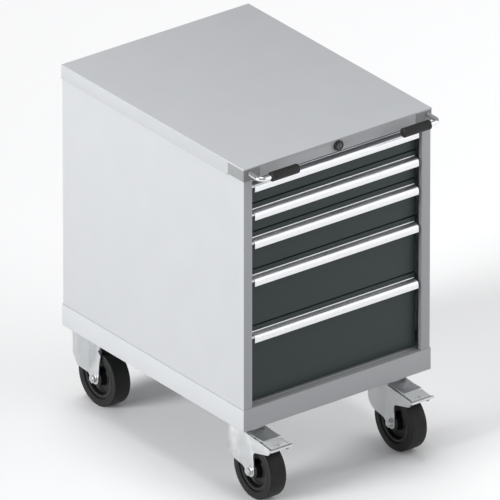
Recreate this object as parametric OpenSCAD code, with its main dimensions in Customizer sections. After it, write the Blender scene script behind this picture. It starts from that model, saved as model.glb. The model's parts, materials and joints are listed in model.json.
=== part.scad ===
// Mobile workshop cabinet: a sheet steel body on four castors, five drawers on telescopic
// rails, two push grips on the front and one central lock.
// Front is -Y, left is -X. The origin is on the floor, under the middle of the whole outline.

/* [Cabinet] */
// Width across the cover and the plinth
body_w = 564; // [560:1:580]
// Depth from the front of the plinth to the back of the cover
body_d = 725; // [715:1:760]
// Height of the plinth
plinth_h = 57; // [45:1:70]
// Height of the rail above the drawers, cover included
rail_h = 33; // [32:1:36]
// Thickness of the folded sheet
sheet = 1.5; // [1.2:0.1:1.8]
// Step from the cover and plinth in to the side panels
panel_step = 2; // [1.8:0.1:2.4]
// Width of each front post
post_w = 28; // [27:0.5:29]
// Height of the cover's folded edge
cover_drop = 38; // [34:1:44]
// Length of a corner block along the front
corner_w = 48; // [44:1:60]
// Length of a corner block along the side
corner_d = 62; // [56:1:80]

/* [Drawers] */
// Height unit of the drawer fronts
drawer_unit = 25; // [25:1:28]
// Height of each front in units, from the top down
drawer_units = [3, 3, 4, 6, 8]; // [3:1:8]
// Gap between two drawer fronts
front_gap = 3; // [2:0.5:4]
// Gap between the lowest front and the plinth
floor_gap = 7; // [5:1:12]
// How far the fronts stand back from the plinth
recess = 21.5; // [20:0.5:24]
// Usable depth of a drawer
drawer_d = 612; // [580:1:612]
// Length of the telescopic rails
rail_len = 600; // [560:1:600]

/* [Push grips] */
// Diameter of the bent tube
tube_d = 12; // [10:0.5:13]
// Distance from the plinth's front to the tube's axis
tube_reach = 48; // [44:1:48]
// Diameter of the grip
grip_d = 24; // [20:1:24]
// Length of the grip
grip_len = 80; // [60:1:90]

/* [Castors] */
// Height of a castor
castor_h = 200; // [200:1:215]
// Diameter of the wheels
wheel_d = 150; // [140:1:150]
// Width of the tyres
tyre_w = 49; // [40:1:49]
// Distance from a wheel's middle to the cabinet's side
castor_in = 70; // [66:1:80]
// Distance from the front to the swivel axis
swivel_in = 85; // [80:1:110]
// Distance from the swivel axis forward to the wheel's axle
trail = 58; // [56:0.5:60]
// Distance from the front to the rear axle
rear_axle_in = 648; // [600:1:650]

/* [Hidden] */

$fn = 64;
eps = 1;

// Colours
cover_grey = [0.76, 0.77, 0.77];
panel_grey = [0.80, 0.82, 0.82];
dark_grey = [0.58, 0.59, 0.59];
anthracite = [0.23, 0.27, 0.265];
zinc = [0.78, 0.79, 0.80];
silver = [0.85, 0.85, 0.86];
black = [0.12, 0.12, 0.13];

// Levels, from the floor up
half_w = body_w / 2;
plinth_top = castor_h + plinth_h;
stack_z = plinth_top + floor_gap;
function sum_to(list, n) = n < 0 ? 0 : list[n] + sum_to(list, n - 1);
stack_h = sum_to(drawer_units, len(drawer_units) - 1) * drawer_unit;
rail_z = stack_z + stack_h;
top_z = rail_z + rail_h;
lip_h = 4;

// Depths, from the front back; the front grips reach furthest forward
front_reach = tube_reach + grip_d / 2;
front_y = -(body_d - front_reach) / 2;
rear_y = front_y + body_d;
panel_y = front_y + panel_step;
panel_rear = rear_y - panel_step;
panel_x = half_w - panel_step;
post_depth = 12.5;
fit = 0.2;

// Drawers: numbers run from 1 at the top
front_y0 = front_y + recess;
pan_d = 8;
tray_y = front_y0 + pan_d;
tray_wall = 1.2;
tray_half = 231;
front_half = half_w - post_w - 3;
rails_y = front_y + 48;
function pitch(n) = drawer_units[n - 1] * drawer_unit;
function drawer_z(n) = rail_z - sum_to(drawer_units, n - 1) * drawer_unit;
function drawer_h(n) = pitch(n) - front_gap;

// Central lock: the plug's crank pushes a rod, whose wedge lifts the hook bar
lock_z = rail_z + 16;
lock_r = 13;
plug_r = 7;
crank = 8;
rod_y = front_y + 31;
bar_y = front_y + 39;
bar_x = half_w - 14;
hook_z = 47;

// Castors
castor_x = half_w - castor_in;
wheel_r = wheel_d / 2;
axle_z = wheel_r;
swivel_y = front_y + swivel_in;
rear_axle_y = front_y + rear_axle_in;
axle_r = 6;
running = 0.05;
plate_t = 4;
plate_size = [110, 140];
plate_holes = [80, 105];
crown_r = 44;
ear_out = 30.5;
fork_t = 3;
boss_r = 15;
hub_half = 27;
pedal_y = 28;
pedal_z = -37;

// ---------------------------------------------------------------- helpers
// Extrudes a (Y, Z) outline along X, centred on X = 0
module along_x(len) { rotate([90, 0, 90]) linear_extrude(len, center = true) children(); }

// Extrudes an (X, Z) outline towards the back by len
module towards_back(len) { rotate([90, 0, 0]) translate([0, 0, -len]) linear_extrude(len) children(); }

// Shaft along Y, from y to y + len
module shaft_y(r, len) { rotate([-90, 0, 0]) cylinder(h = len, r = r); }

// Shaft along X, centred
module shaft_x(r, len) { rotate([0, 90, 0]) cylinder(h = len, r = r, center = true); }

// Turned piece: outline in (radius, X) turned about the X axis
module turned_x() { rotate([0, 90, 0]) rotate_extrude() children(); }

// Right-hand pieces are drawn; the left ones are their mirror images
module on_side(side) { if (side < 0) mirror([1, 0, 0]) children(); else children(); }

// Half outline of a turned rod with rounded rims, from 0 to len
module rod_outline(r, len, rim) {
    square([r - rim, len]);
    translate([0, rim]) square([r, len - 2 * rim]);
    for (h = [rim, len - rim]) translate([r - rim, h]) circle(r = rim, $fn = 32);
}

// ---------------------------------------------------------------- cabinet
// Cover: a folded tray upside down; over the corner blocks only a low lip is left
module top_cover() color(cover_grey) difference() {
    translate([-half_w, front_y, top_z - cover_drop]) cube([body_w, body_d, cover_drop]);
    translate([-half_w + sheet, front_y + sheet, top_z - cover_drop - eps])
        cube([body_w - 2 * sheet, body_d - 2 * sheet, cover_drop - sheet + eps]);
    translate([-half_w - eps, front_y - eps, top_z - cover_drop - eps])
        cube([body_w + 2 * eps, corner_d + fit + eps, cover_drop - lip_h + eps]);
}

// Side panel with its front post and rear edge folded from one sheet
module side_panel(side) color(panel_grey) on_side(side) difference() {
    translate([0, 0, castor_h + fork_t + fit])
        linear_extrude(top_z - sheet - fit - castor_h - fork_t - fit) {
            translate([panel_x - sheet, panel_y]) square([sheet, panel_rear - panel_y]);
            translate([half_w - post_w, panel_y]) square([post_w - panel_step, sheet]);
            translate([half_w - post_w, panel_y]) square([sheet, post_depth]);
            translate([panel_x - 14, panel_rear - sheet]) square([14, sheet]);
        }
    translate([half_w - corner_w, front_y, rail_z - fit])
        cube([corner_w, corner_d + 2 * fit, rail_h]);
}

// Back panel inside the side panels, with its upright edges folded forward
module back_panel() color(panel_grey) {
    low = castor_h + fork_t + fit;
    tall = top_z - sheet - fit - low;
    wide = 2 * (panel_x - sheet - fit);
    translate([-wide / 2, panel_rear - 2 * sheet, low]) cube([wide, sheet, tall]);
    for (side = [-1, 1]) translate([side * (wide - sheet) / 2 - sheet / 2, panel_rear - 18, low])
        cube([sheet, 18 - sheet, tall]);
}

// Plinth: a folded base tray that carries the castors, with a shelf along its front
module base_plinth() color(cover_grey) difference() {
    union() {
        difference() {
            translate([-half_w, front_y, castor_h]) cube([body_w, body_d, plinth_h]);
            translate([-half_w + sheet, front_y + sheet, castor_h + fork_t])
                cube([body_w - 2 * sheet, body_d - 2 * sheet, plinth_h]);
        }
        translate([-half_w + post_w + fit, front_y, plinth_top - sheet])
            cube([body_w - 2 * post_w - 2 * fit, recess - 1, sheet]);
    }
    castor_holes(castor_h - eps, fork_t + 2 * eps);
}

// The holes that the castor screws pass through
module castor_holes(z, h) {
    for (p = castor_hole_places()) translate([p[0], p[1], z]) cylinder(h = h, r = 5.5);
}
function castor_hole_places() = [for (side = [-1, 1], y = [swivel_y, rear_axle_y], i = [-1, 1],
    j = [-1, 1]) [side * castor_x + i * plate_holes[0] / 2, y + j * plate_holes[1] / 2]];

// Floor of the cabinet, a tray upside down between the side panels
module floor_panel() color(panel_grey) {
    wide = 2 * (panel_x - sheet - 2 * fit);
    y0 = front_y + recess - 1 + fit;
    deep = panel_rear - 18 - fit - y0;
    difference() {
        translate([-wide / 2, y0, plinth_top - 20]) cube([wide, deep, 20]);
        translate([-wide / 2 + sheet, y0 + sheet, plinth_top - 20 - eps])
            cube([wide - 2 * sheet, deep - 2 * sheet, 20 - sheet + eps]);
    }
}

// Rail between the corner blocks: a folded channel that carries the lock
module top_rail() color(cover_grey) difference() {
    wide = body_w - 2 * corner_w - 0.6;
    union() {
        translate([-wide / 2, front_y, rail_z]) cube([wide, sheet, rail_h - lip_h - fit]);
        translate([-wide / 2, front_y, rail_z]) cube([wide, 48, sheet]);
        translate([-wide / 2, front_y + 48 - sheet, rail_z]) cube([wide, sheet, rail_h - 8]);
    }
    translate([0, front_y - eps, lock_z]) shaft_y(10, 5);
}

// Corner block: a cast shell with a boss for the push tube
module corner_block(side) color(dark_grey) on_side(side) {
    high = rail_h - lip_h;
    wall = 3;
    translate([0, 0, rail_z]) difference() {
        translate([half_w - corner_w, front_y, 0]) union() {
            cube([corner_w - wall, corner_d, high]);
            translate([0, wall, 0]) cube([corner_w, corner_d - wall, high]);
            translate([corner_w - wall, wall, 0]) cylinder(h = high, r = wall);
        }
        difference() {
            translate([half_w - corner_w - eps, front_y + wall, -eps])
                cube([corner_w - wall + eps, corner_d, high - wall + eps]);
            translate([tube_x(), front_y, tube_z() - rail_z]) shaft_y(9, 26);
        }
        translate([tube_x(), front_y - eps, tube_z() - rail_z]) shaft_y(tube_d / 2, 26 + 2 * eps);
    }
}
function tube_x() = half_w - 15;
function tube_z() = top_z - 13;

// ---------------------------------------------------------------- push grips
// Section of the bent tube
module tube_ring() difference() {
    circle(d = tube_d);
    circle(d = tube_d - 3);
}

// Bent tube: out of the corner block, round a bend and inwards along the front
module push_tube(side) color(silver) on_side(side) {
    bend = 15;
    end_x = half_w - 122;
    translate([tube_x(), front_y - tube_reach + bend, tube_z()])
        rotate([-90, 0, 0]) linear_extrude(tube_reach - bend + 22) tube_ring();
    translate([tube_x() - bend, front_y - tube_reach + bend, tube_z()])
        rotate([0, 0, -90]) rotate_extrude(angle = 90) translate([bend, 0]) tube_ring();
    translate([end_x, front_y - tube_reach, tube_z()])
        rotate([0, 90, 0]) linear_extrude(tube_x() - bend - end_x) tube_ring();
}

// Rubber grip with a closed, rounded inner end
module grip(side) color(black) on_side(side)
    translate([half_w - 45 - grip_len, front_y - tube_reach, tube_z()]) rotate([0, 90, 0])
        difference() {
            rotate_extrude() intersection() {
                rod_outline(grip_d / 2, grip_len, 2.5);
                square([grip_d, grip_len]);
            }
            translate([0, 0, 3]) cylinder(h = grip_len, d = tube_d);
        }

// ---------------------------------------------------------------- lock
// Case: a round collar in front of the rail and a threaded body behind it
module lock_case() color(black) translate([0, front_y, lock_z]) difference() {
    union() {
        rotate([90, 0, 0]) rotate_extrude() intersection() {
            rod_outline(lock_r, 7, 2);
            square([lock_r, 7]);
        }
        shaft_y(9.9, 26);
        translate([0, 3, 0]) shaft_y(12.5, 4);
    }
    translate([0, -8, 0]) shaft_y(plug_r + running, 36);
}

// Plug that the key turns, with its key slot
module lock_plug() color(zinc) translate([0, front_y, lock_z]) difference() {
    union() {
        translate([0, -6.4, 0]) shaft_y(plug_r, 32.4);
        translate([0, 26, 0]) shaft_y(4, 4.5);
    }
    translate([-0.9, -8, -4.5]) cube([1.8, 20, 9]);
}

// Crank on the end of the plug, with the pin that moves the rod
module lock_cam() color(zinc) translate([0, front_y + 26.5, lock_z]) {
    difference() {
        union() {
            shaft_y(8, 3);
            translate([-4, 0, -crank]) cube([8, 3, crank]);
            translate([0, 0, -crank]) shaft_y(4, 3);
        }
        translate([0, -eps, 0]) shaft_y(4, 6);
    }
    translate([0, 0, -crank]) shaft_y(1.5, 9);
}

// Push rod: a slotted plate around the crank pin, a flat rod and a wedge at its far end
module lock_rod() color(zinc) translate([0, rod_y, 0]) {
    pin_z = lock_z - crank;
    low = rail_z + 2.5;
    wedge_x = bar_x - 17;
    towards_back(4) difference() {
        union() {
            translate([-7, low]) square([17, lock_z + 6 - low]);
            translate([0, low]) square([wedge_x, 5]);
            polygon([[wedge_x - eps, low], [wedge_x + 14, low], [wedge_x + 1, low + 13],
                [wedge_x - eps, low + 13]]);
        }
        translate([-2.2, pin_z - 2.2]) square([6.4, crank + 4.4]);
    }
}

// Hook bar behind the right post: a pin on the rod's wedge and one hook for each drawer
module lock_bar() color(zinc) {
    low = drawer_z(5) + 30;
    pin_r = 3;
    pin_x = bar_x - 1;
    // the wedge's slope lies on x + z = slope; the pin rests just above it
    slope = bar_x - 17 + 14 + rail_z + 2.5;
    pin_z = slope - pin_x + (pin_r + fit) * sqrt(2);
    translate([bar_x - 5, bar_y, low]) cube([9, 4, pin_z + pin_r + 1 - low]);
    translate([pin_x, rod_y - 1, pin_z]) shaft_y(pin_r, bar_y - rod_y + 2);
    for (n = [1:5]) translate([half_w - 42, bar_y, drawer_z(n) + hook_z]) cube([26, 4, 4]);
}

// ---------------------------------------------------------------- drawers
// Front of a drawer: a shallow pan, open to the back
module drawer_front(n) color(anthracite) translate([0, front_y0, drawer_z(n)]) difference() {
    translate([-front_half, 0, 0]) cube([2 * front_half, pan_d, drawer_h(n)]);
    translate([-front_half + sheet, sheet, sheet])
        cube([2 * (front_half - sheet), pan_d, drawer_h(n) - 2 * sheet]);
}

// Handle: an extruded strip with a lip, a flat ledge and a rounded nose, open underneath
module handle_outline() {
    nose = 10;
    wall = 2;
    ledge = 9;
    drop = 8.5;
    translate([0, -16]) square([wall, 20]);
    translate([0, -wall]) square([ledge, wall]);
    translate([ledge, -nose]) intersection() {
        difference() { circle(r = nose); circle(r = nose - wall); }
        square(nose);
    }
    translate([ledge + nose - wall, -nose - drop]) square([wall, drop]);
    translate([ledge + nose - 1.6, -nose - drop]) circle(r = 1.6, $fn = 32);
}
module drawer_handle(n) color(silver)
    translate([0, front_y0, drawer_z(n) + drawer_h(n) - 15.5])
        along_x(2 * front_half - 11) mirror([1, 0]) handle_outline();

// Tray with the drawer's own rails on its sides and a keeper for the lock's hook
module drawer_tray(n) color(panel_grey) translate([0, 0, drawer_z(n)]) {
    low = 6;
    high = drawer_h(n) - 20;
    deep = drawer_d + 2 * tray_wall;
    difference() {
        translate([-tray_half, tray_y, low]) cube([2 * tray_half, deep, high]);
        translate([-tray_half + tray_wall, tray_y + tray_wall, low + tray_wall])
            cube([2 * (tray_half - tray_wall), drawer_d, high]);
    }
    for (side = [-1, 1]) on_side(side) translate([0, rails_y, 0]) towards_back(rail_len)
        channel(tray_half, 239, rail_mid(), 1);
    translate([tray_half, front_y + 44, 52]) cube([15, 3, 6]);
}
function rail_mid() = 28;

// C-shaped rail in (X, Z) from the web's outer face at x0 to the flange tips at x1
module channel(x0, x1, mid, dir) {
    half = 15;
    wall = 1.5;
    web = dir > 0 ? x0 : x0 - wall;
    left = min(x0, x1);
    translate([web, mid - half]) square([wall, 2 * half]);
    for (z = [mid - half - wall, mid + half]) translate([left, z]) square([abs(x1 - x0), wall]);
}

// Middle member of both slides of a drawer
module middle_rails(n) color(zinc) for (side = [-1, 1]) on_side(side)
    translate([0, rails_y, drawer_z(n) + rail_mid()]) towards_back(rail_len) {
        translate([233.4, -14]) square([4.6, 28]);
        translate([237, -5]) square([8, 10]);
        translate([244, -14]) square([4.6, 28]);
    }

// Fixed rails: each has a web near the post line and two stand-offs to the side panel
module cabinet_rails() color(zinc) for (side = [-1, 1], n = [1:5]) on_side(side)
    translate([0, 0, drawer_z(n)]) {
        translate([0, rails_y, 0]) towards_back(rail_len) channel(251.5, 242.5, rail_mid(), -1);
        for (y = [rails_y + 10, rails_y + rail_len - 50])
            translate([251.4, y, rail_mid() - 12]) cube([panel_x - sheet - 251.4, 40, 24]);
    }

// ---------------------------------------------------------------- castors
// Mounting plate with its four holes
module plate_outline() difference() {
    square(plate_size, center = true);
    for (i = [-1, 1], j = [-1, 1])
        translate([i * plate_holes[0] / 2, j * plate_holes[1] / 2]) circle(r = 5.5);
}

// Fixed half of a swivel castor: plate, upper ball race and riveted king pin
module swivel_plate(side) color(zinc) translate([side * castor_x, swivel_y, castor_h]) {
    translate([0, 0, -plate_t]) linear_extrude(plate_t) plate_outline();
    translate([0, 0, -12]) cylinder(h = 12 - plate_t / 2, r = 32);
    translate([0, 0, -24]) cylinder(h = 20, r = axle_r);
    translate([0, 0, -24]) cylinder(h = 3.4, r = 11);
}

// Plan of the fork's wall: round behind, tapering in to two straight ears in front
module fork_plan() {
    difference() {
        circle(r = crown_r);
        circle(r = crown_r - fork_t);
        translate([-crown_r, -crown_r - 8]) square([2 * crown_r, crown_r]);
    }
    for (side = [-1, 1]) scale([side, 1]) {
        polygon([[43.3, -8], [crown_r - 3.8, -8], [ear_out - fork_t, -29.5], [ear_out, -30]]);
        translate([ear_out - fork_t, -140]) square([fork_t, 111]);
    }
}

// Side view of the fork in (Y, Z): Y from the swivel axis, Z from the cabinet's underside
module fork_side() {
    axle = [-trail, axle_z - castor_h];
    polygon([[crown_r, -16], [crown_r, -62], [-33, -123], axle + [11, -10.2], axle,
        axle + [-boss_r, 0], [-72, -100], [-70, -80], [-71.5, -74], [-76, -70], [-127, -57],
        [-131, -54.5], [-136.5, -46], [-135, -39.5], [-41, -29.5], [-41, -16]]);
    translate(axle) circle(r = boss_r);
}

// Swivelling fork: crown, lower ball race and pressed wall in one
module front_fork(side) color(zinc) translate([side * castor_x, swivel_y, castor_h])
    difference() {
        union() {
            intersection() {
                translate([0, 0, -castor_h]) linear_extrude(castor_h) fork_plan();
                along_x(2 * crown_r + 2) fork_side();
            }
            translate([0, 0, -20]) cylinder(h = 4, r = crown_r);
            translate([0, 0, -16.5]) cylinder(h = 4.1, r = 32);
        }
        translate([0, 0, -30]) cylinder(h = 30, r = axle_r + running);
        translate([0, -trail, axle_z - castor_h]) shaft_x(axle_r, 2 * crown_r);
        translate([0, pedal_y - swivel_in, pedal_z]) shaft_x(3 + running, 2 * crown_r);
    }

// Wheel bolt with its washers, head and nut
module axle_bolt() {
    shaft_x(axle_r, 2 * ear_out + 22);
    for (side = [-1, 1]) translate([side * (ear_out + 1), 0, 0]) shaft_x(11.5, 2);
    translate([-ear_out - 2 - 3.5, 0, 0]) rotate([0, 90, 0])
        cylinder(h = 7, r = 10.4, center = true, $fn = 6);
    translate([ear_out + 2 + 4.5, 0, 0]) rotate([0, 90, 0])
        cylinder(h = 9, r = 10.4, center = true, $fn = 6);
}
module front_axle(side) color(zinc)
    translate([side * castor_x, swivel_y - trail, axle_z]) axle_bolt();
module rear_axles() color(zinc)
    for (side = [-1, 1]) translate([side * castor_x, rear_axle_y, axle_z]) axle_bolt();

// Rim: hub, dished web and a raised ring under the tyre
module rim() color(black) turned_x() {
    ring = wheel_r - 20;
    translate([axle_r + running, -hub_half]) square([16, 2 * hub_half]);
    translate([20, -6]) square([ring - 20, 12]);
    translate([ring - 9, -20]) square([9, 40]);
}

// Tyre: a solid ring with rounded shoulders
module tyre() color(black) turned_x() {
    shoulder = 4;
    ring = wheel_r - 20;
    half = tyre_w / 2;
    translate([ring, -half + 2]) square([wheel_r - shoulder - ring, tyre_w - 4]);
    translate([ring + 4, -half]) square([wheel_r - shoulder - ring - 4, tyre_w]);
    translate([ring, -half + shoulder]) square([wheel_r - ring, tyre_w - 2 * shoulder]);
    for (x = [-1, 1]) translate([wheel_r - shoulder, x * (half - shoulder)]) circle(r = shoulder);
}

// Brake pedal: pivot stubs, a plate over the wheel, a brake shoe and a lower pad with a slot
module brake_pedal(side) color(zinc) translate([side * castor_x, front_y, castor_h])
    difference() {
        union() {
            along_x(2 * (ear_out - fork_t - 1)) {
                polygon([[44, -29], [-20, -29], [-20, -33.4], [-54, -37], [-54, -39.5],
                    [-17.5, -35.6], [-17.5, -31.5], [44, -31.5]]);
                translate([pedal_y, pedal_z]) circle(r = 6.5);
                polygon([[8, -31], [-8, -31], [-4, -47], [4, -47]]);
            }
            translate([0, 0, -39.5]) linear_extrude(2.5) pad_plan();
            translate([-ear_out - 2.5, -60, -43]) cube([2 * ear_out + 5, 1.5, 6]);
            translate([0, pedal_y, pedal_z]) shaft_x(3, 2 * ear_out);
        }
        translate([-9, -43, -44]) cube([18, 2.4, 20]);
        translate([-1.2, -50, -44]) cube([2.4, 8, 20]);
    }
module pad_plan() {
    half = ear_out - fork_t - 1;
    polygon([[-half, -53.5], [half, -53.5], [ear_out + 2.5, -56.5], [ear_out + 2.5, -60],
        [-ear_out - 2.5, -60], [-ear_out - 2.5, -56.5]]);
}

// Plan and side view of a fixed castor's legs, about the wheel's axle
module bracket_plan() for (i = [-1, 1], j = [-1, 1]) scale([i, j]) {
    translate([ear_out - fork_t, -eps]) square([fork_t, 26]);
    polygon([[ear_out - fork_t, 24.6], [ear_out, 24.2], [52, 40], [54, 56], [51, 56], [49.4, 42]]);
}
module bracket_side() {
    axle_dz = axle_z - castor_h;
    polygon([[-56, -2], [-50, -22], [-36, -33], [-24, -56], [-18, -86], [-boss_r, axle_dz],
        [0, axle_dz], [11, axle_dz - 10.2], [17, -131 + 3], [44, -92], [56, -66], [56, -2]]);
    translate([0, axle_dz]) circle(r = boss_r);
}

// Fixed bracket: plate and two flared legs
module rear_bracket(side) color(zinc) translate([side * castor_x, rear_axle_y, castor_h])
    difference() {
        union() {
            translate([0, 0, -plate_t]) linear_extrude(plate_t) plate_outline();
            intersection() {
                translate([0, 0, -castor_h]) linear_extrude(castor_h - plate_t / 2) bracket_plan();
                along_x(120) bracket_side();
            }
        }
        translate([0, 0, axle_z - castor_h]) shaft_x(axle_r, 120);
    }

// Wheels
module front_rim(side) translate([side * castor_x, swivel_y - trail, axle_z]) rim();
module front_tyre(side) translate([side * castor_x, swivel_y - trail, axle_z]) tyre();
module rear_rim(side) translate([side * castor_x, rear_axle_y, axle_z]) rim();
module rear_tyre(side) translate([side * castor_x, rear_axle_y, axle_z]) tyre();

// Sixteen screws with nuts that hold the castor plates to the plinth
module castor_screws() color(zinc) for (p = castor_hole_places())
    translate([p[0], p[1], castor_h]) {
        translate([0, 0, -plate_t - 6.4]) rotate(30) cylinder(h = 6.4, r = 9.2, $fn = 6);
        translate([0, 0, -plate_t - eps]) cylinder(h = 18, r = 5);
        translate([0, 0, fork_t]) rotate(30) cylinder(h = 8, r = 9.2, $fn = 6);
    }

// ---------------------------------------------------------------- pieces
top_cover();
side_panel(-1);  // side_panel_left
side_panel(1);  // side_panel_right
back_panel();
base_plinth();
floor_panel();
top_rail();
corner_block(-1);  // corner_block_left
corner_block(1);  // corner_block_right
push_tube(-1);  // push_tube_left
push_tube(1);  // push_tube_right
grip(-1);  // grip_left
grip(1);  // grip_right
lock_case();
lock_plug();
lock_cam();
lock_rod();
lock_bar();
cabinet_rails();
drawer_front(1);  // drawer_front_1
drawer_front(2);  // drawer_front_2
drawer_front(3);  // drawer_front_3
drawer_front(4);  // drawer_front_4
drawer_front(5);  // drawer_front_5
drawer_handle(1);  // drawer_handle_1
drawer_handle(2);  // drawer_handle_2
drawer_handle(3);  // drawer_handle_3
drawer_handle(4);  // drawer_handle_4
drawer_handle(5);  // drawer_handle_5
drawer_tray(1);  // drawer_tray_1
drawer_tray(2);  // drawer_tray_2
drawer_tray(3);  // drawer_tray_3
drawer_tray(4);  // drawer_tray_4
drawer_tray(5);  // drawer_tray_5
middle_rails(1);  // middle_rails_1
middle_rails(2);  // middle_rails_2
middle_rails(3);  // middle_rails_3
middle_rails(4);  // middle_rails_4
middle_rails(5);  // middle_rails_5
swivel_plate(-1);  // swivel_plate_left
swivel_plate(1);  // swivel_plate_right
front_fork(-1);  // front_fork_left
front_fork(1);  // front_fork_right
front_axle(-1);  // front_axle_left
front_axle(1);  // front_axle_right
front_rim(-1);  // front_rim_left
front_rim(1);  // front_rim_right
front_tyre(-1);  // front_tyre_left
front_tyre(1);  // front_tyre_right
brake_pedal(-1);  // brake_pedal_left
brake_pedal(1);  // brake_pedal_right
rear_bracket(-1);  // rear_bracket_left
rear_bracket(1);  // rear_bracket_right
rear_axles();
rear_rim(-1);  // rear_rim_left
rear_rim(1);  // rear_rim_right
rear_tyre(-1);  // rear_tyre_left
rear_tyre(1);  // rear_tyre_right
castor_screws();
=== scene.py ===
"""Looks of a mobile drawer cabinet: painted sheet, aluminium handles, zinc castors, studio."""
import json
import math

import bpy
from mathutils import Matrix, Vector


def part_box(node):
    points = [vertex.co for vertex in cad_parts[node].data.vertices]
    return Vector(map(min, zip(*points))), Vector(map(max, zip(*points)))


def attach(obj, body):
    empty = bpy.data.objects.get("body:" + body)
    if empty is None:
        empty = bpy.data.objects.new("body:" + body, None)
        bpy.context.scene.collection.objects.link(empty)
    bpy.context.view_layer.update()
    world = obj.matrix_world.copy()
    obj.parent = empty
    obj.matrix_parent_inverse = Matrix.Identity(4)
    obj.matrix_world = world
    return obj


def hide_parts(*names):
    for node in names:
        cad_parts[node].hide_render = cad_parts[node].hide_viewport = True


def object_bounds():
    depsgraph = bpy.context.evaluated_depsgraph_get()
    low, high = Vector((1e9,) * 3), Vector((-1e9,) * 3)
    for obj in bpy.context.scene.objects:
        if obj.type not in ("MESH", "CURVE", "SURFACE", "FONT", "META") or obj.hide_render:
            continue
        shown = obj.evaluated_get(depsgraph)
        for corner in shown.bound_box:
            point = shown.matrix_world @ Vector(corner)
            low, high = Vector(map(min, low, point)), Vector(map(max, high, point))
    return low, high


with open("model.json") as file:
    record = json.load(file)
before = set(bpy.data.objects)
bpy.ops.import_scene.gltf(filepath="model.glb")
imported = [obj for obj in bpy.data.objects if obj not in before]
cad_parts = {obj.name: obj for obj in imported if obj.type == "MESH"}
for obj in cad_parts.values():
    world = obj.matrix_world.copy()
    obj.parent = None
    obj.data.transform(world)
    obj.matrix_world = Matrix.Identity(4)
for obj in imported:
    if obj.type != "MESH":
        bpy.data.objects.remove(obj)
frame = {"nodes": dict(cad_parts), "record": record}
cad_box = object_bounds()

bl_info = {
    "name": "Mobile Drawer Cabinet",
    "version": (1, 0, 0),
    "blender": (4, 5, 0),
    "location": "View3D > Sidebar > Cabinet",
    "description": "Builds the finished pieces of a workshop cabinet around its frame",
    "category": "Object",
}

MM = 0.001
MERGE = 0.01 * MM        # vertices closer than this are one
FLAT = 0.02 * MM         # points closer to a wall than this lie on it
SHEET = 1.5 * MM         # thickness of the drawer fronts
TUBE_WALL = 1.5 * MM
TUBE_BEND = 15 * MM      # radius of the push grips' bend, to the tube's middle
TYRE_DEPTH = 20 * MM     # from the rim to the tread
AXLE_BORE = 6.05 * MM
GRIP_BORE = 6.05 * MM

FLOOR_SIZE = 40
SUN_SPREAD = math.radians(24)
SUNS = (("key_left", (-1.0, 0.1, 0.27), 3.3),     # name, direction it comes from, strength
        ("top_soft", (0.0, 0.15, 1.0), 0.88))
CARD = ("right_card", (3.0, -3.0, 2.7), 5.0, 1.12)     # name, place, size, radiance
SURROUND_STRENGTH = 0.35
CAMERA_AZIMUTH, CAMERA_ELEVATION = math.radians(-37.15), math.radians(26.2)
CAMERA_LENS, CAMERA_SENSOR = 1500, 36
VIEW_WIDTH = 1.1995
AIM_BEHIND_FRONT, AIM_BELOW_TOP = 0.3468, 0.431

BODY_OF = {n: body for body, nodes in frame["record"]["behaviour"]["bodies"].items() for n in nodes}
SLOT_OF = {row["node"]: row["material_slot"] for row in frame["record"]["subparts"]}
DRAWERS = range(1, 6)
SIDES = ("left", "right")


def low(node):
    """Lowest corner of a node's box, in metres."""
    return Vector(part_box(node)[0])


def high(node):
    """Highest corner of a node's box, in metres."""
    return Vector(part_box(node)[1])


def middle(node):
    """Middle of a node's box, in metres."""
    return (low(node) + high(node)) / 2


def linear(hex_code):
    """Linear RGBA of an sRGB hex colour."""
    channels = [int(hex_code[i:i + 2], 16) / 255 for i in (1, 3, 5)]
    return [c / 12.92 if c <= 0.04045 else ((c + 0.055) / 1.055) ** 2.4 for c in channels] + [1.0]


# ------------------------------------------------------------------ settings
class CabinetSizes(bpy.types.PropertyGroup):
    """Sizes of the details that the frame doesn't fix."""

    fold_radius: bpy.props.FloatProperty(
        name="Fold radius", description="Outside radius of the folded sheet edges",
        default=1.6 * MM, min=0.5 * MM, max=3 * MM, unit="LENGTH")
    edge_radius: bpy.props.FloatProperty(
        name="Edge radius", description="Rounding of cut sheet edges",
        default=0.45 * MM, min=0.1 * MM, max=0.7 * MM, unit="LENGTH")
    press_radius: bpy.props.FloatProperty(
        name="Pressing radius", description="Rounding of the edges of pressed castor parts",
        default=1.0 * MM, min=0.2 * MM, max=1.4 * MM, unit="LENGTH")
    tyre_shoulder: bpy.props.FloatProperty(
        name="Tyre shoulder", description="Radius of the tyre's shoulders",
        default=4 * MM, min=2 * MM, max=9 * MM, unit="LENGTH")
    turned_steps: bpy.props.IntProperty(
        name="Steps of turned pieces",
        description="Number of steps round wheels, grips and the lock",
        default=96, min=32, max=160)


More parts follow.
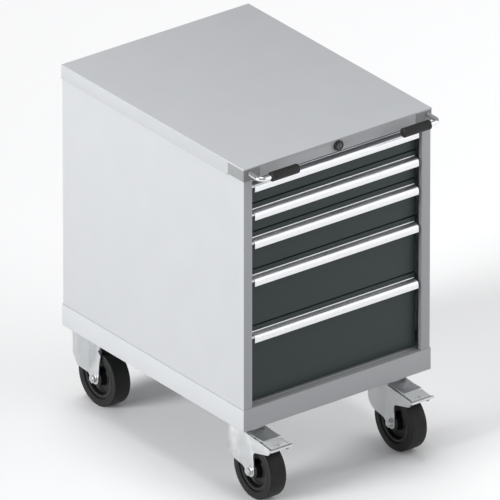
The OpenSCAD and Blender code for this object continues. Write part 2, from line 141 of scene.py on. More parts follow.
class CabinetColours(bpy.types.PropertyGroup):
    """Colours of the paints, metals and plastics."""

    body_paint: bpy.props.FloatVectorProperty(
        name="Body paint", description="Light grey powder coat of the body",
        subtype="COLOR", size=4, min=0, max=1, default=linear("#BFC1C3"))
    front_paint: bpy.props.FloatVectorProperty(
        name="Front paint", description="Anthracite powder coat of the drawer fronts",
        subtype="COLOR", size=4, min=0, max=1, default=linear("#303C3B"))
    tray_paint: bpy.props.FloatVectorProperty(
        name="Tray paint", description="Grey powder coat of the drawer trays",
        subtype="COLOR", size=4, min=0, max=1, default=linear("#9FA4A5"))
    corner_grey: bpy.props.FloatVectorProperty(
        name="Corner grey", description="Grey of the moulded corner blocks",
        subtype="COLOR", size=4, min=0, max=1, default=linear("#929494"))
    rubber: bpy.props.FloatVectorProperty(
        name="Rubber", description="Black of the tyres and grips",
        subtype="COLOR", size=4, min=0, max=1, default=linear("#151516"))
    polyamide: bpy.props.FloatVectorProperty(
        name="Polyamide", description="Black of the rims and the lock's collar",
        subtype="COLOR", size=4, min=0, max=1, default=linear("#111112"))
    floor: bpy.props.FloatVectorProperty(
        name="Floor", description="Pale studio floor",
        subtype="COLOR", size=4, min=0, max=1, default=linear("#FCFCFC"))


# ------------------------------------------------------------------ materials
def add_node(tree, kind, settings=None, inputs=None):
    """Adds a node with its attributes and its sockets, each socket a value or (node, output)."""
    node = tree.nodes.new(kind)
    for name, value in (settings or {}).items():
        setattr(node, name, value)
    for name, value in (inputs or {}).items():
        linked = isinstance(value, tuple) and isinstance(value[0], bpy.types.Node)
        if linked:
            tree.links.new(value[0].outputs[value[1]], node.inputs[name])
        else:
            node.inputs[name].default_value = value
    return node


def new_material(name, **sockets):
    """An empty material with a Principled shader whose constant sockets are set directly."""
    material = bpy.data.materials.new(name)
    material.use_nodes = True
    tree = material.node_tree
    tree.nodes.clear()
    shader = add_node(tree, "ShaderNodeBsdfPrincipled", inputs=sockets)
    add_node(tree, "ShaderNodeOutputMaterial", inputs={"Surface": (shader, "BSDF")})
    return material, tree, shader


def position(tree, scale=(1, 1, 1)):
    """Object coordinates in metres, stretched by a scale."""
    coords = add_node(tree, "ShaderNodeTexCoord")
    return add_node(tree, "ShaderNodeMapping",
                    inputs={"Vector": (coords, "Object"), "Scale": scale})


def noise(tree, where, size_mm, detail=3.0, rough=0.5):
    """Noise whose features are about size_mm across."""
    return add_node(tree, "ShaderNodeTexNoise", inputs={
        "Vector": (where, "Vector"), "Scale": 1 / (size_mm * MM),
        "Detail": detail, "Roughness": rough})


def between(tree, source, lowest, highest):
    """A value spread from lowest to highest over the middle of a noise."""
    return add_node(tree, "ShaderNodeMapRange", inputs={
        "Value": (source, "Fac"), "From Min": 0.3, "From Max": 0.7,
        "To Min": lowest, "To Max": highest})


def tinted(tree, source, colour, spread):
    """A colour that a noise makes lighter and darker by a spread."""
    value = between(tree, source, 1 - spread, 1 + spread)
    return add_node(tree, "ShaderNodeHueSaturation",
                    inputs={"Color": colour, "Value": (value, "Result")})


def varied(tree, shader, colour, gloss):
    """Links a varied colour and a varied roughness to the shader."""
    tree.links.new(colour.outputs["Color"], shader.inputs["Base Color"])
    tree.links.new(gloss.outputs["Result"], shader.inputs["Roughness"])


def bumped(tree, shader, source, height_mm, strength):
    """Links a noise, as a height, to the shader's normal."""
    bump = add_node(tree, "ShaderNodeBump", inputs={
        "Height": (source, "Fac"), "Distance": height_mm * MM, "Strength": strength})
    tree.links.new(bump.outputs["Normal"], shader.inputs["Normal"])


def powder_coat(name, colour, roughness):
    """Baked polyester powder coat on steel: an even colour with a fine, soft orange peel."""
    material, tree, shader = new_material(name, **{
        "Roughness": roughness, "IOR": 1.5, "Specular IOR Level": 0.35})
    where = position(tree)
    cloud = noise(tree, where, 90, 2.0)
    body = tinted(tree, cloud, colour, 0.012)
    # The real peel is about 1 mm across; it is drawn at 2.4 mm so that it shows as a soft grain
    peel = noise(tree, where, 2.4, 2.0, 0.4)
    gloss = between(tree, peel, roughness - 0.03, roughness + 0.04)
    varied(tree, shader, body, gloss)
    bumped(tree, shader, peel, 0.05, 0.5)
    return material


def anodised_aluminium(name):
    """Extruded and anodised aluminium: satin, with fine die lines along the strip."""
    material, tree, shader = new_material(name, **{
        "Metallic": 1.0, "Roughness": 0.3, "Anisotropic": 0.4})
    # Die lines run along X for the whole length, about 0.8 mm apart
    where = position(tree, (0.02, 1, 1))
    lines = noise(tree, where, 0.8, 4.0, 0.6)
    body = tinted(tree, lines, linear("#E4E5E7"), 0.035)
    gloss = between(tree, lines, 0.24, 0.36)
    varied(tree, shader, body, gloss)
    bumped(tree, shader, lines, 0.02, 0.4)
    return material


def zinc_plating(name, colour, roughness):
    """Bright zinc plate on pressed steel: slightly mottled, with faint rolling lines."""
    material, tree, shader = new_material(name, **{"Metallic": 1.0, "Roughness": roughness})
    where = position(tree)
    mottle = noise(tree, where, 14, 4.0, 0.6)
    body = tinted(tree, mottle, colour, 0.05)
    gloss = between(tree, mottle, roughness - 0.06, roughness + 0.08)
    varied(tree, shader, body, gloss)
    rolled = noise(tree, position(tree, (1, 0.08, 1)), 1.5, 3.0)
    bumped(tree, shader, rolled, 0.03, 0.35)
    return material


def bright_chrome(name):
    """Chrome plate over polished tube: a clear mirror with the slightest haze."""
    material, tree, shader = new_material(name, **{"Metallic": 1.0, "Roughness": 0.12})
    haze = noise(tree, position(tree), 9, 3.0)
    body = tinted(tree, haze, linear("#E6E8EA"), 0.015)
    gloss = between(tree, haze, 0.08, 0.17)
    varied(tree, shader, body, gloss)
    return material


def moulded_plastic(name, colour, roughness, grain_mm):
    """Injection-moulded plastic: an even colour and a fine eroded grain from the mould."""
    material, tree, shader = new_material(name, **{
        "Roughness": roughness, "IOR": 1.49, "Specular IOR Level": 0.4})
    where = position(tree)
    cloud = noise(tree, where, 35, 2.0)
    body = tinted(tree, cloud, colour, 0.03)
    grain = noise(tree, where, grain_mm, 2.0, 0.6)
    gloss = between(tree, grain, roughness - 0.05, roughness + 0.05)
    varied(tree, shader, body, gloss)
    bumped(tree, shader, grain, 0.06, 0.5)
    return material


def solid_rubber(name, colour):
    """Vulcanised black rubber: matt, a little dusty, with a fine moulded skin."""
    material, tree, shader = new_material(name, **{
        "Roughness": 0.6, "IOR": 1.52, "Specular IOR Level": 0.3})
    where = position(tree)
    dust = noise(tree, where, 22, 5.0, 0.65)
    body = tinted(tree, dust, colour, 0.12)
    gloss = between(tree, dust, 0.5, 0.68)
    varied(tree, shader, body, gloss)
    skin = noise(tree, where, 1.6, 3.0, 0.6)
    bumped(tree, shader, skin, 0.08, 0.5)
    return material


def painted_floor(name, colour):
    """Smooth pale studio floor, with the faintest unevenness."""
    material, tree, shader = new_material(name, **{"Roughness": 0.9, "Specular IOR Level": 0.1})
    cloud = noise(tree, position(tree), 900, 2.0)
    body = tinted(tree, cloud, colour, 0.004)
    tree.links.new(body.outputs["Color"], shader.inputs["Base Color"])
    return material


def finish_of(slot):
    """The finished material of a record slot, made the first time it is asked for."""
    colours = bpy.context.scene.cabinet_colours
    recipes = {
        "light_grey_paint": ("light_grey_powder_coat", powder_coat, colours.body_paint[:], 0.42),
        "anthracite_paint": ("anthracite_powder_coat", powder_coat, colours.front_paint[:], 0.4),
        "tray_paint": ("tray_grey_powder_coat", powder_coat, colours.tray_paint[:], 0.45),
        "corner_grey": ("grey_moulded_polyamide", moulded_plastic, colours.corner_grey[:],
                        0.45, 1.2),
        "handle_aluminium": ("anodised_aluminium", anodised_aluminium),
        "tube_steel": ("bright_chromed_steel", bright_chrome),
        "grip_rubber": ("black_soft_grip_plastic", moulded_plastic, colours.rubber[:], 0.5, 1.4),
        "lock_black": ("black_lock_plastic", moulded_plastic, colours.polyamide[:], 0.25, 2.0),
        "lock_nickel": ("nickel_plated_lock_brass", zinc_plating, linear("#5C5C5E"), 0.25),
        "zinc_steel": ("zinc_plated_rail_steel", zinc_plating, linear("#C9CBCC"), 0.32),
        "castor_zinc": ("zinc_plated_castor_steel", zinc_plating, linear("#D0D2D3"), 0.4),
        # The pedal pad's pale paint is a painted highlight for the light that the tilted pad
        # catches, not a different finish
        "pedal_pad_painted_highlight": ("pale_grey_enamel", powder_coat, linear("#CFD1D2"), 0.45),
        "rim_black": ("black_glass_filled_polyamide", moulded_plastic, colours.polyamide[:],
                      0.42, 1.8),
        "tyre_rubber": ("black_elastic_solid_rubber", solid_rubber, colours.rubber[:]),
        "studio_floor": ("painted_studio_floor", painted_floor, colours.floor[:]),
    }
    name, make, *values = recipes[slot]
    return bpy.data.materials.get(name) or make(name, *values)


# ------------------------------------------------------------------ modelling helpers
def activate(piece):
    """Leaves only this piece selected and active, in object mode."""
    if bpy.context.object and bpy.context.object.mode != "OBJECT":
        bpy.ops.object.mode_set(mode="OBJECT")
    bpy.ops.object.select_all(action="DESELECT")
    piece.select_set(True)
    bpy.context.view_layer.objects.active = piece


def clear_selection():
    """Deselects everything, so that the next primitive stands alone."""
    if bpy.context.object and bpy.context.object.mode != "OBJECT":
        bpy.ops.object.mode_set(mode="OBJECT")
    bpy.ops.object.select_all(action="DESELECT")


def pick_faces(piece, test):
    """In edit mode, selects the faces whose centre and normal pass the test."""
    bpy.ops.object.mode_set(mode="OBJECT")
    mesh = piece.data
    for part in (*mesh.vertices, *mesh.edges):
        part.select = False
    for face in mesh.polygons:
        face.select = bool(test(face.center, face.normal))
    bpy.ops.object.mode_set(mode="EDIT")
    bpy.ops.mesh.select_mode(type="FACE")


def pick_edges(piece, test):
    """In edit mode, selects the edges whose two ends pass the test."""
    bpy.ops.object.mode_set(mode="OBJECT")
    mesh = piece.data
    for part in (*mesh.vertices, *mesh.polygons):
        part.select = False
    for edge in mesh.edges:
        start, end = (mesh.vertices[i].co for i in edge.vertices)
        edge.select = bool(test(start, end))
    bpy.ops.object.mode_set(mode="EDIT")
    bpy.ops.mesh.select_mode(type="EDGE")


def apply_modifier(piece, name, kind, **settings):
    """Adds one modifier and applies it."""
    activate(piece)
    modifier = piece.modifiers.new(name, kind)
    for key, value in settings.items():
        setattr(modifier, key, value)
    bpy.ops.object.modifier_apply(modifier=modifier.name)


def round_edges(piece, radius, segments=2, angle=30):
    """Rounds every edge sharper than the angle."""
    apply_modifier(piece, "Rounded edges", "BEVEL", width=radius, segments=segments,
                   limit_method="ANGLE", angle_limit=math.radians(angle))


def hand_over(piece, name, *nodes, smooth=32):
    """Places, shades and names a finished piece, which then stands for these nodes."""
    activate(piece)
    bpy.ops.object.transform_apply(location=True, rotation=True, scale=True)
    bpy.ops.object.shade_smooth_by_angle(angle=math.radians(smooth))
    piece.name = piece.data.name = name
    piece.data.materials.clear()
    piece.data.materials.append(finish_of(SLOT_OF[nodes[0]]))
    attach(piece, BODY_OF[nodes[0]])
    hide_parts(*nodes)
    return piece


def worked_copy(node):
    """A copy of a frame node with its triangles merged into whole faces."""
    piece = bpy.data.objects.new(node + "_work", frame["nodes"][node].data.copy())
    bpy.context.scene.collection.objects.link(piece)
    activate(piece)
    bpy.ops.mesh.customdata_custom_splitnormals_clear()
    bpy.ops.object.mode_set(mode="EDIT")
    bpy.ops.mesh.select_all(action="SELECT")
    bpy.ops.mesh.remove_doubles(threshold=MERGE)
    bpy.ops.mesh.dissolve_limited(angle_limit=math.radians(0.5))
    bpy.ops.object.mode_set(mode="OBJECT")
    return piece


def placed_copy(piece, shift, name, *nodes):
    """A copy of a finished piece with its own mesh, moved to another node's place."""
    twin = bpy.data.objects.new(name, piece.data.copy())
    bpy.context.scene.collection.objects.link(twin)
    twin.location = shift
    return hand_over(twin, name, *nodes)


def start_point(at):
    """A mesh of one vertex, in edit mode, to draw an outline from."""
    clear_selection()
    bpy.ops.mesh.primitive_plane_add(size=MM, location=at)
    bpy.ops.object.mode_set(mode="EDIT")
    bpy.ops.mesh.select_mode(type="VERT")
    bpy.ops.mesh.select_all(action="SELECT")
    bpy.ops.mesh.merge(type="CENTER")
    return bpy.context.object


def draw_on(points):
    """Extrudes the selected vertex from point to point."""
    for here, there in zip(points, points[1:]):
        bpy.ops.mesh.extrude_vertices_move(TRANSFORM_OT_translate={"value": there - here})


def turned(outline, centre, axis, steps):
    """A turned piece: an outline of (radius, distance along a level axis) spun round it."""
    along, out = Vector(axis), Vector((0, 0, 1))
    points = [centre + out * r + along * h for r, h in outline]
    piece = start_point(points[0])
    draw_on(points)
    bpy.ops.mesh.select_all(action="SELECT")
    bpy.ops.mesh.spin(steps=steps, angle=2 * math.pi, center=centre, axis=axis)
    bpy.ops.mesh.select_all(action="SELECT")
    bpy.ops.mesh.remove_doubles(threshold=MERGE / 2)
    bpy.ops.mesh.normals_make_consistent(inside=False)
    bpy.ops.object.mode_set(mode="OBJECT")
    return piece


def arc(centre, radius, start, end, steps):
    """Points of an arc, in degrees, as pairs."""
    turns = [math.radians(start + (end - start) * i / steps) for i in range(steps + 1)]
    return [(centre[0] + radius * math.cos(t), centre[1] + radius * math.sin(t)) for t in turns]


# ------------------------------------------------------------------ pieces
class CABINET_OT_body(bpy.types.Operator):
    """Folded sheet of the cover, panels, plinth, floor and top rail"""

    bl_idname = "cabinet.body"
    bl_label = "Sheet body"

    def execute(self, context):
        sizes = context.scene.cabinet_sizes
        for node in ("top_cover", "base_plinth", "side_panel_left", "side_panel_right",
                     "back_panel", "floor_panel", "top_rail"):
            piece = worked_copy(node)
            self.round_folds(piece, node, sizes)
            hand_over(piece, node + "_sheet", node)
        return {"FINISHED"}

    def round_folds(self, piece, node, sizes):
        """Rounds the outer folds by the fold radius, and every cut edge by the edge radius."""
        floor, ceiling = low(node), high(node)
        closed = {"top_cover": ceiling.z, "base_plinth": floor.z}.get(node)

        def walls(point):
            """Which outer walls of the box a point lies on."""
            on = {(axis, side) for axis in (0, 1) for side, edge in ((0, floor), (1, ceiling))
                  if abs(point[axis] - edge[axis]) < FLAT}
            if closed is not None and abs(point.z - closed) < FLAT:
                on.add((2, 0))
            return on

        weights = piece.data.attributes.new("bevel_weight_edge", "FLOAT", "EDGE")
        for edge in piece.data.edges:
            start, end = (piece.data.vertices[i].co for i in edge.vertices)
            shared = walls(start) & walls(end)
            upright = abs(start.z - end.z) > 20 * MM
            fold = len(shared) >= 2 and (upright or (2, 0) in shared)
            weights.data[edge.index].value = 1.0 if fold else 0.0
        apply_modifier(piece, "Folds", "BEVEL", width=sizes.fold_radius, segments=4,
                       limit_method="WEIGHT")
        round_edges(piece, sizes.edge_radius, 2, 50)


class CABINET_OT_corner_blocks(bpy.types.Operator):
    """Moulded blocks at the ends of the top rail"""

    bl_idname = "cabinet.corner_blocks"
    bl_label = "Corner blocks"

    def execute(self, context):
        for side in SIDES:
            piece = worked_copy("corner_block_" + side)
            round_edges(piece, 0.8 * MM, 2, 40)
            hand_over(piece, f"corner_block_{side}_moulding", "corner_block_" + side)
        return {"FINISHED"}


class CABINET_OT_push_grips(bpy.types.Operator):
    """Bent chrome tubes and their black grips"""

    bl_idname = "cabinet.push_grips"
    bl_label = "Push grips"

    def execute(self, context):
        for side, sign in (("left", -1), ("right", 1)):
            self.tube(side, sign)
            self.grip(side, sign, context.scene.cabinet_sizes.turned_steps)
        return {"FINISHED"}

    def tube(self, side, sign):
        """A ring of vertices, extruded out of the block, spun round the bend and on inwards."""
        node = "push_tube_" + side
        floor, ceiling = low(node), high(node)
        radius = (ceiling.z - floor.z) / 2
        root_x = (floor.x if sign < 0 else ceiling.x) - sign * radius
        reach_y = floor.y + radius
        end_x = ceiling.x if sign < 0 else floor.x
        height = middle(node).z
        clear_selection()
        bpy.ops.mesh.primitive_circle_add(
            vertices=48, radius=radius, location=(root_x, ceiling.y, height),
            rotation=(math.radians(90), 0, 0))
        piece = bpy.context.object
        bpy.ops.object.transform_apply(location=True, rotation=True, scale=True)
        bpy.ops.object.mode_set(mode="EDIT")
        bpy.ops.mesh.select_all(action="SELECT")
        run = ceiling.y - (reach_y + TUBE_BEND)
        bpy.ops.mesh.extrude_region_move(TRANSFORM_OT_translate={"value": (0, -run, 0)})
        bpy.ops.mesh.spin(steps=16, angle=math.radians(90),
                          center=(root_x - sign * TUBE_BEND, reach_y + TUBE_BEND, height),
                          axis=(0, 0, sign))
        inward = abs(end_x - root_x) - TUBE_BEND
        bpy.ops.mesh.extrude_region_move(TRANSFORM_OT_translate={"value": (-sign * inward, 0, 0)})
        bpy.ops.mesh.select_all(action="SELECT")
        bpy.ops.mesh.remove_doubles(threshold=MERGE)
        bpy.ops.mesh.normals_make_consistent(inside=False)
        bpy.ops.object.mode_set(mode="OBJECT")
        apply_modifier(piece, "Tube wall", "SOLIDIFY", thickness=TUBE_WALL, offset=-1)
        hand_over(piece, node + "_bend", node)

    def grip(self, side, sign, steps):
        """A turned sleeve with a domed free end and a shallow ring at its mouth."""
        node = "grip_" + side
        floor, ceiling = low(node), high(node)
        radius = (ceiling.z - floor.z) / 2
        length = ceiling.x - floor.x
        free = Vector((ceiling.x if sign < 0 else floor.x, *middle(node).yz))
        outline = [(0, 0), (radius - 4 * MM, 0)]
        outline += arc((radius - 3 * MM, 3 * MM), 3 * MM, -90, 0, 6)
        outline += [(radius, length - 9 * MM), (radius - 0.7 * MM, length - 8.4 * MM),
                    (radius - 0.7 * MM, length - 7.4 * MM), (radius, length - 6.8 * MM)]
        outline += arc((radius - 2 * MM, length - 2 * MM), 2 * MM, 0, 90, 5)
        outline += [(GRIP_BORE, length), (GRIP_BORE, 4 * MM), (0, 4 * MM)]
        piece = turned(outline, free, (sign, 0, 0), steps)
        hand_over(piece, node + "_sleeve", node)


class CABINET_OT_lock(bpy.types.Operator):
    """Lock collar and the plug with its key slot"""

    bl_idname = "cabinet.lock"
    bl_label = "Lock"

    def execute(self, context):
        steps = context.scene.cabinet_sizes.turned_steps
        case_low, case_high = low("lock_case"), high("lock_case")
        centre = middle("lock_case")
        radius = (case_high.z - case_low.z) / 2
        depth = case_high.y - case_low.y
        plug = (high("lock_plug").z - low("lock_plug").z) / 2
        bore = plug + 0.05 * MM
        front = Vector((centre.x, case_low.y, centre.z))
        outline = [(bore, 1.2 * MM), (plug + 1.2 * MM, 0.4 * MM), (plug + 2 * MM, 0.2 * MM)]
        outline += [(radius - 3.4 * MM, 0)]
        outline += arc((radius - 3 * MM, 3 * MM), 3 * MM, -80, 0, 8)
        outline += [(radius, 7 * MM), (9.9 * MM, 7 * MM), (9.9 * MM, depth), (bore, depth),
                    (bore, 1.2 * MM)]
        case = turned(outline, front, (0, 1, 0), steps)
        hand_over(case, "lock_case_collar", "lock_case")
        piece = worked_copy("lock_plug")
        round_edges(piece, 0.4 * MM, 2, 40)
        hand_over(piece, "lock_plug_turned", "lock_plug")
        for node in ("lock_cam", "lock_rod", "lock_bar"):
            piece = worked_copy(node)
            round_edges(piece, 0.4 * MM, 2, 40)
            hand_over(piece, node + "_cut", node)
        return {"FINISHED"}


class CABINET_OT_drawer_fronts(bpy.types.Operator):
    """Painted fronts of the drawers, shallow pans folded from sheet"""

    bl_idname = "cabinet.drawer_fronts"
    bl_label = "Drawer fronts"

    def execute(self, context):
        sizes = context.scene.cabinet_sizes
        for number in DRAWERS:
            node = f"drawer_front_{number}"
            floor, ceiling = low(node), high(node)
            clear_selection()
            bpy.ops.mesh.primitive_cube_add(size=1, location=middle(node))
            piece = bpy.context.object
            piece.scale = ceiling - floor
            bpy.ops.object.transform_apply(location=True, rotation=True, scale=True)
            pick_faces(piece, lambda centre, normal: normal.y > 0.9)
            bpy.ops.mesh.delete(type="FACE")
            pick_edges(piece, lambda a, b: a.y < floor.y + MM and b.y < floor.y + MM)
            bpy.ops.mesh.bevel(offset=sizes.fold_radius, segments=4, affect="EDGES")
            pick_edges(piece, lambda a, b: abs(a.y - b.y) > 2 * MM)
            bpy.ops.mesh.bevel(offset=1 * MM, segments=2, affect="EDGES")
            bpy.ops.object.mode_set(mode="OBJECT")
            apply_modifier(piece, "Sheet", "SOLIDIFY", thickness=SHEET, offset=-1)
            hand_over(piece, node + "_pan", node)
        return {"FINISHED"}


class CABINET_OT_drawer_handles(bpy.types.Operator):
    """Full-width aluminium handle strips, one outline extruded and copied"""

    bl_idname = "cabinet.drawer_handles"
    bl_label = "Drawer handles"

    def execute(self, context):
        node = "drawer_handle_1"
        floor, ceiling = low(node), high(node)
        back = ceiling.y
        ledge = ceiling.z - 4 * MM
        # (forward, up) from the back of the ledge, in millimetres
        outline = [(0, -16), (0, 3.7), (0.3, 4), (1.6, 4), (1.9, 3.7), (1.9, 2.5)]
        outline += arc((9, -10), 10, 60, 0, 12)
        outline += [(19, -18.5)] + arc((17.4, -18.5), 1.6, -18, -180, 6)
        outline += [(17, -16)] + arc((9, -10), 8, 0, 90, 10)
        outline += [(2.6, -2), (2, -2.6), (2, -16)]
        points = [Vector((floor.x, back - forward * MM, ledge + up * MM))
                  for forward, up in outline]
        piece = start_point(points[0])
        draw_on(points)
        bpy.ops.mesh.select_all(action="SELECT")
        bpy.ops.mesh.edge_face_add()
        bpy.ops.mesh.select_mode(type="FACE")
        bpy.ops.mesh.select_all(action="SELECT")
        length = ceiling.x - floor.x
        bpy.ops.mesh.extrude_region_move(TRANSFORM_OT_translate={"value": (length, 0, 0)})
        bpy.ops.mesh.select_all(action="SELECT")
        bpy.ops.mesh.normals_make_consistent(inside=False)
        bpy.ops.object.mode_set(mode="OBJECT")
        round_edges(piece, 0.3 * MM, 1, 60)
        first = hand_over(piece, "drawer_handle_1_strip", node, smooth=25)
        for number in DRAWERS[1:]:
            other = f"drawer_handle_{number}"
            placed_copy(first, low(other) - floor, other + "_strip", other)
        return {"FINISHED"}


class CABINET_OT_drawer_trays(bpy.types.Operator):
    """Drawer trays and the rails of the telescopic slides"""

    bl_idname = "cabinet.drawer_trays"
    bl_label = "Trays and rails"

    def execute(self, context):
        for number in DRAWERS:
            for node in (f"drawer_tray_{number}", f"middle_rails_{number}"):
                piece = worked_copy(node)
                round_edges(piece, 0.35 * MM, 1, 50)
                hand_over(piece, node + "_folded", node)
        piece = worked_copy("cabinet_rails")
        round_edges(piece, 0.35 * MM, 1, 50)
        hand_over(piece, "cabinet_rails_folded", "cabinet_rails")
        return {"FINISHED"}


class CABINET_OT_castor_pressings(bpy.types.Operator):
    """Pressed plates, forks, brackets and brake pedals of the castors"""

    bl_idname = "cabinet.castor_pressings"
    bl_label = "Castor pressings"

    def execute(self, context):
        radius = context.scene.cabinet_sizes.press_radius
        for kind in ("swivel_plate_", "front_fork_", "rear_bracket_", "brake_pedal_"):
            for side in SIDES:
                piece = worked_copy(kind + side)
                round_edges(piece, radius, 3, 35)
                hand_over(piece, kind + side + "_pressing", kind + side)
                if kind == "brake_pedal_":
                    self.enamel_pad(piece, low(kind + side).y)
        return {"FINISHED"}

    def enamel_pad(self, piece, front):
        """The upper face of a pedal's lower pad is painted paler than the zinc round it: a painted
        highlight for the light that the tilted pad catches.
        """
        piece.data.materials.append(finish_of("pedal_pad_painted_highlight"))
        activate(piece)
        pick_faces(piece, lambda centre, normal:
                   normal.z > 0.9 and 5 * MM < centre.y - front < 41 * MM)
        piece.active_material_index = 1
        bpy.ops.object.material_slot_assign()
        bpy.ops.object.mode_set(mode="OBJECT")


class CABINET_OT_castor_bolts(bpy.types.Operator):
    """Wheel bolts and the screws of the castor plates"""

    bl_idname = "cabinet.castor_bolts"
    bl_label = "Castor bolts"

    def execute(self, context):
        for node in ("front_axle_left", "front_axle_right", "rear_axles", "castor_screws"):
            piece = worked_copy(node)
            round_edges(piece, 0.8 * MM, 2, 40)
            hand_over(piece, node + "_plated", node)
        return {"FINISHED"}


class CABINET_OT_wheels(bpy.types.Operator):
    """One rim and one tyre are turned, then copied to the other three wheels"""

    bl_idname = "cabinet.wheels"
    bl_label = "Wheels"

    def execute(self, context):
        sizes = context.scene.cabinet_sizes
        centre = middle("front_tyre_left")
        radius = (high("front_tyre_left").z - low("front_tyre_left").z) / 2
        half = (high("front_tyre_left").x - low("front_tyre_left").x) / 2
        ring = radius - TYRE_DEPTH
        tyre = turned(self.tyre_outline(radius, half, ring, sizes.tyre_shoulder), centre,
                      (1, 0, 0), sizes.turned_steps)
        first_tyre = hand_over(tyre, "front_tyre_left_moulding", "front_tyre_left")
        hub_half = (high("front_rim_left").x - low("front_rim_left").x) / 2
        rim = turned(self.rim_outline(ring, hub_half), centre, (1, 0, 0), sizes.turned_steps)
        first_rim = hand_over(rim, "front_rim_left_moulding", "front_rim_left")
        for wheel in ("front_{}_right", "rear_{}_left", "rear_{}_right"):
            for part, first in (("tyre", first_tyre), ("rim", first_rim)):
                node = wheel.format(part)
                shift = middle(node) - middle(f"front_{part}_left")
                placed_copy(first, shift, node + "_moulding", node)
        return {"FINISHED"}

    def tyre_outline(self, radius, half, ring, shoulder):
        """Half a tyre's section from the rim out to the tread, mirrored to the other side."""
        side = [(ring, half - 3 * MM), (ring + 1.5 * MM, half - 1.2 * MM),
                (ring + 3.5 * MM, half - 0.8 * MM)]
        side += [(ring + 4.2 * MM, half), (ring + 6.2 * MM, half), (ring + 7 * MM, half - 0.8 * MM)]
        side += arc((radius - shoulder - 0.4 * MM, half - shoulder - 0.4 * MM), shoulder, 80, 4, 8)
        side += [(radius - 0.2 * MM, half - shoulder - 1 * MM), (radius, half - shoulder - 4 * MM)]
        left = [(r, -x) for r, x in reversed(side)]
        return side + left + side[:1]

    def rim_outline(self, ring, hub_half):
        """A rim's section: bore, hub, dished web, raised ring and the seat under the tyre."""
        side = [(AXLE_BORE, hub_half - 0.6 * MM), (AXLE_BORE + 0.6 * MM, hub_half),
                (19 * MM, hub_half)]
        side += [(21 * MM, hub_half - 1.5 * MM), (22.4 * MM, 9 * MM), (25 * MM, 6.4 * MM)]
        side += [(40 * MM, 6 * MM), (42.5 * MM, 8 * MM), (44.5 * MM, 18 * MM)]
        side += [(45.4 * MM, 19.4 * MM), (47 * MM, 20 * MM), (ring - 2 * MM, 20 * MM)]
        side += [(ring - 0.4 * MM, 19.2 * MM), (ring, 18 * MM)]
        left = [(r, -x) for r, x in reversed(side)]
        return side + left + side[:1]


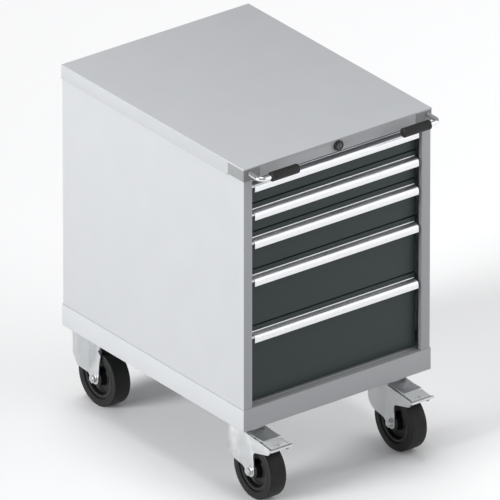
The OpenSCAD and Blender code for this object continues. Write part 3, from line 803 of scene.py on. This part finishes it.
class CABINET_OT_stage(bpy.types.Operator):
    """Pale floor, soft studio lights and the camera"""

    bl_idname = "cabinet.stage"
    bl_label = "Studio"

    def execute(self, context):
        clear_selection()
        bpy.ops.mesh.primitive_plane_add(size=FLOOR_SIZE, location=(0, 0, cad_box[0].z))
        floor = context.object
        floor.name = "studio_floor"
        floor.data.materials.append(finish_of("studio_floor"))
        # The floor is seen and mirrored, but its bounced light would flatten the sides
        floor.visible_diffuse = False
        self.world(context)
        for name, source, power in SUNS:
            self.light(name, source, power)
        self.card(*CARD)
        self.camera(context)
        context.scene.view_settings.view_transform = "Standard"
        return {"FINISHED"}

    def world(self, context):
        """An even, slightly cool surround."""
        world = bpy.data.worlds.new("studio_surround")
        world.use_nodes = True
        background = world.node_tree.nodes["Background"]
        background.inputs["Color"].default_value = linear("#FBFCFF")
        background.inputs["Strength"].default_value = SURROUND_STRENGTH
        context.scene.world = world

    def light(self, name, source, power):
        """A broad, distant soft light that comes from the source's direction."""
        clear_selection()
        bpy.ops.object.light_add(type="SUN", location=Vector(source) * 4)
        lamp = bpy.context.object
        lamp.name = name
        lamp.data.angle = SUN_SPREAD
        lamp.data.energy = power
        lamp.rotation_euler = (-Vector(source)).to_track_quat("-Z", "Y").to_euler()

    def card(self, name, place, size, radiance):
        """A square white card that lights the drawer fronts, and that the metals mirror."""
        clear_selection()
        bpy.ops.object.light_add(type="AREA", location=place)
        card = bpy.context.object
        card.name = name
        card.data.size = size
        card.data.energy = radiance * math.pi * size ** 2
        aim = (cad_box[0] + cad_box[1]) / 2 - Vector(place)
        card.rotation_euler = aim.to_track_quat("-Z", "Y").to_euler()

    def camera(self, context):
        """A long lens from far off, so that parallel edges stay parallel."""
        distance = VIEW_WIDTH * CAMERA_LENS / CAMERA_SENSOR
        target = Vector((0, low("base_plinth").y + AIM_BEHIND_FRONT,
                         high("top_cover").z - AIM_BELOW_TOP))
        level = math.cos(CAMERA_ELEVATION)
        back = Vector((math.sin(CAMERA_AZIMUTH) * level, -math.cos(CAMERA_AZIMUTH) * level,
                       math.sin(CAMERA_ELEVATION)))
        clear_selection()
        bpy.ops.object.camera_add(location=target + back * distance)
        camera = context.object
        camera.name = "studio_camera"
        camera.data.lens = CAMERA_LENS
        camera.data.sensor_width = CAMERA_SENSOR
        camera.data.clip_end = 4 * distance
        camera.rotation_euler = (-back).to_track_quat("-Z", "Y").to_euler()
        context.scene.camera = camera


class CABINET_PT_panel(bpy.types.Panel):
    """Lists the cabinet's settings and the operators that build it"""

    bl_label = "Mobile Drawer Cabinet"
    bl_idname = "CABINET_PT_panel"
    bl_space_type = "VIEW_3D"
    bl_region_type = "UI"
    bl_category = "Cabinet"

    def draw(self, context):
        layout = self.layout
        for group in (context.scene.cabinet_sizes, context.scene.cabinet_colours):
            box = layout.box()
            for name in group.bl_rna.properties.keys():
                if name not in ("rna_type", "name"):
                    box.prop(group, name)
        for operator in OPERATORS:
            layout.operator(operator.bl_idname)


OPERATORS = (CABINET_OT_stage, CABINET_OT_body, CABINET_OT_corner_blocks, CABINET_OT_push_grips,
             CABINET_OT_lock, CABINET_OT_drawer_fronts, CABINET_OT_drawer_handles,
             CABINET_OT_drawer_trays, CABINET_OT_castor_pressings, CABINET_OT_castor_bolts,
             CABINET_OT_wheels)
CLASSES = (CabinetSizes, CabinetColours, *OPERATORS, CABINET_PT_panel)


def register():
    for cls in CLASSES:
        bpy.utils.register_class(cls)
    bpy.types.Scene.cabinet_sizes = bpy.props.PointerProperty(type=CabinetSizes)
    bpy.types.Scene.cabinet_colours = bpy.props.PointerProperty(type=CabinetColours)


def unregister():
    del bpy.types.Scene.cabinet_colours
    del bpy.types.Scene.cabinet_sizes
    for cls in reversed(CLASSES):
        bpy.utils.unregister_class(cls)


def main():
    """Builds every piece."""
    register()
    for operator in OPERATORS:
        group, name = operator.bl_idname.split(".")
        getattr(getattr(bpy.ops, group), name)()
    bpy.context.view_layer.update()


if __name__ == "__main__":
    main()
